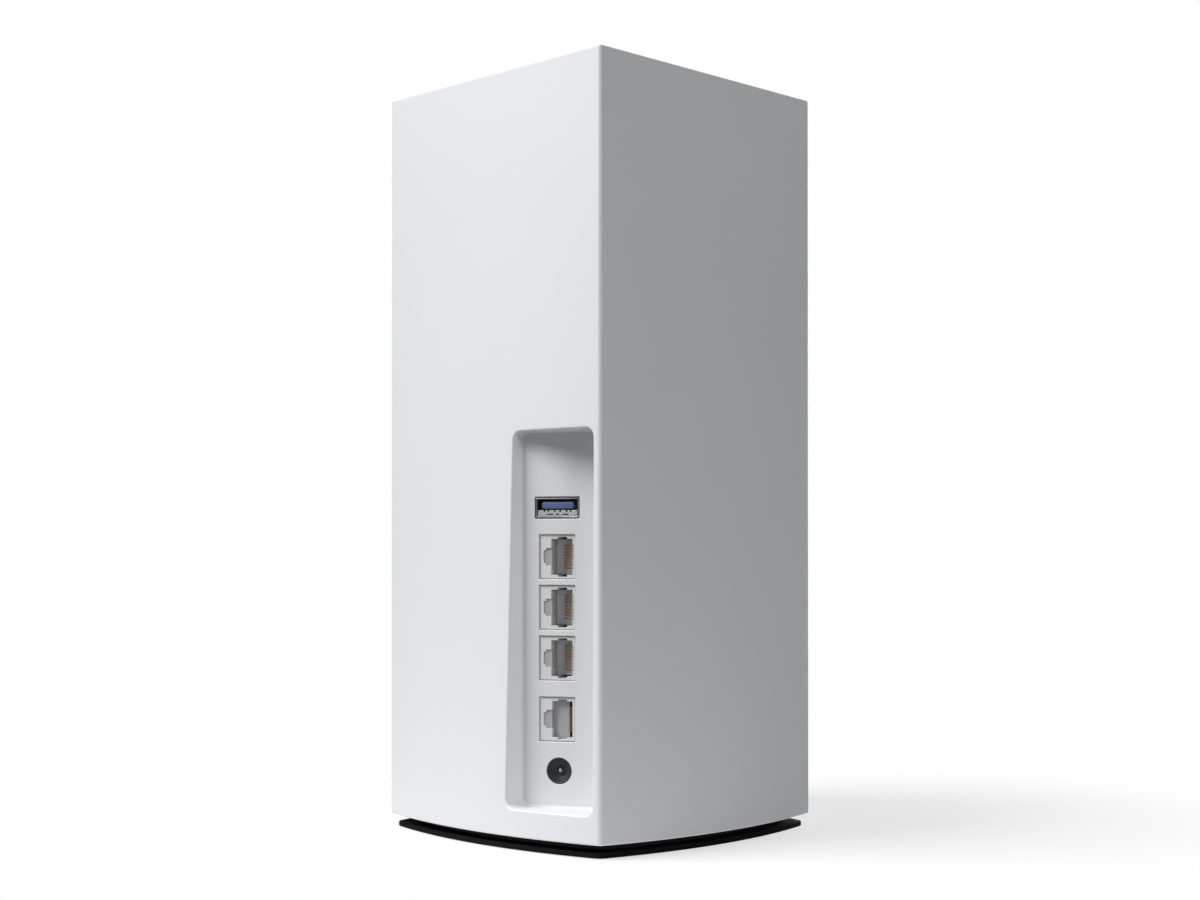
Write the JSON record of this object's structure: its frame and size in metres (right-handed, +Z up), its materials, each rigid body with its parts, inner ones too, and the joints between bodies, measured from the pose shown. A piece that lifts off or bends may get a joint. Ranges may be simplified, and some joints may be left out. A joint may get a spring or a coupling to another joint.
{
  "type": "mesh wifi node",
  "caption": "White tower mesh wifi node on a black foot, its faces bowing out towards the base, with a recessed rear port bay and controls underneath.",
  "frame": {"origin": "centre of the footprint, on the surface the node stands on", "axes": "+Z up along the tower, +Y out of the rear face that holds the port bay, -Y is the front, +X completes the right-handed frame"},
  "size_m": [0.114, 0.114, 0.2438],
  "materials": {
    "white_shell": "fine moulded satin white ABS",
    "white_vent": "fine moulded satin white ABS",
    "clear_plastic": "clear polycarbonate light guide",
    "black_plastic": "moulded black ABS",
    "foot_rubber": "soft black rubber",
    "label_film": "blank silver-grey label film",
    "zinc_steel": "zinc plated screw steel",
    "jack_plastic": "moulded pale jack housing",
    "gold_contact": "gold flashed spring contacts",
    "nickel": "nickel plated pressed sheet",
    "usb_blue": "blue insulator",
    "circuit_board": "green solder mask on glass laminate",
    "cable_black": "thin black coaxial cable jacket",
    "chip_black": "moulded component package",
    "thermal_pad": "soft grey-blue gap filler",
    "aluminium": "plain extruded aluminium",
    "grey_plastic": "moulded grey plastic"
  },
  "bodies": {
    "root": {"antenna_1": "circuit_board", "antenna_2": "circuit_board", "antenna_3": "circuit_board", "antenna_4": "circuit_board", "antenna_carrier": "grey_plastic", "antenna_lead_1": "cable_black", "antenna_lead_2": "cable_black", "antenna_lead_3": "cable_black", "antenna_lead_4": "cable_black", "base_screw_1": "zinc_steel", "base_screw_2": "zinc_steel", "base_screw_3": "zinc_steel", "base_screw_4": "zinc_steel", "base_tray": "black_plastic", "board_screw_1": "zinc_steel", "board_screw_2": "zinc_steel", "board_screw_3": "zinc_steel", "board_screw_4": "zinc_steel", "chassis_frame": "grey_plastic", "chassis_screw_1": "zinc_steel", "chassis_screw_2": "zinc_steel", "filter_capacitor": "chip_black", "foot_ring": "foot_rubber", "lan_contacts_1": "gold_contact", "lan_contacts_2": "gold_contact", "lan_contacts_3": "gold_contact", "lan_jack_1": "jack_plastic", "lan_jack_2": "jack_plastic", "lan_jack_3": "jack_plastic", "light_board": "circuit_board", "main_board": "circuit_board", "memory_chip": "chip_black", "outer_shell": "white_shell", "pair_switch": "chip_black", "port_panel": "white_shell", "power_inlet_housing": "black_plastic", "power_inlet_pin": "nickel", "power_inlet_spring": "nickel", "power_switch_body": "black_plastic", "processor_chip": "chip_black", "processor_heat_sink": "aluminium", "processor_pad": "thermal_pad", "radio_chip_1": "chip_black", "radio_chip_2": "chip_black", "radio_heat_sink": "aluminium", "radio_pad": "thermal_pad", "rating_label": "label_film", "reset_switch": "chip_black", "rocker_pin": "zinc_steel", "status_light": "clear_plastic", "status_light_pipe": "clear_plastic", "switch_board": "circuit_board", "top_vent_cover": "white_vent", "usb_shell": "nickel", "usb_tongue": "usb_blue", "wan_contacts": "gold_contact", "wan_jack": "jack_plastic"},
    "power_rocker_body": {"power_rocker": "black_plastic"},
    "pair_button_body": {"pair_button": "grey_plastic"},
    "reset_button_body": {"reset_button": "grey_plastic"}
  },
  "joints": [
    {"name": "power_rocker_tilt", "type": "hinge", "parent": "root", "child": "power_rocker_body", "pos_m": [0.006, 0.027, 0.0062], "axis": [0, -1, 0], "range_deg": [0, 14]},
    {"name": "pair_button_press", "type": "slide", "parent": "root", "child": "pair_button_body", "axis": [0, 0, 1], "range_m": [0, 0.0005], "stiffness_N_per_m": 400},
    {"name": "reset_button_press", "type": "slide", "parent": "root", "child": "reset_button_body", "axis": [0, 0, 1], "range_m": [0, 0.0005], "stiffness_N_per_m": 400}
  ]
}
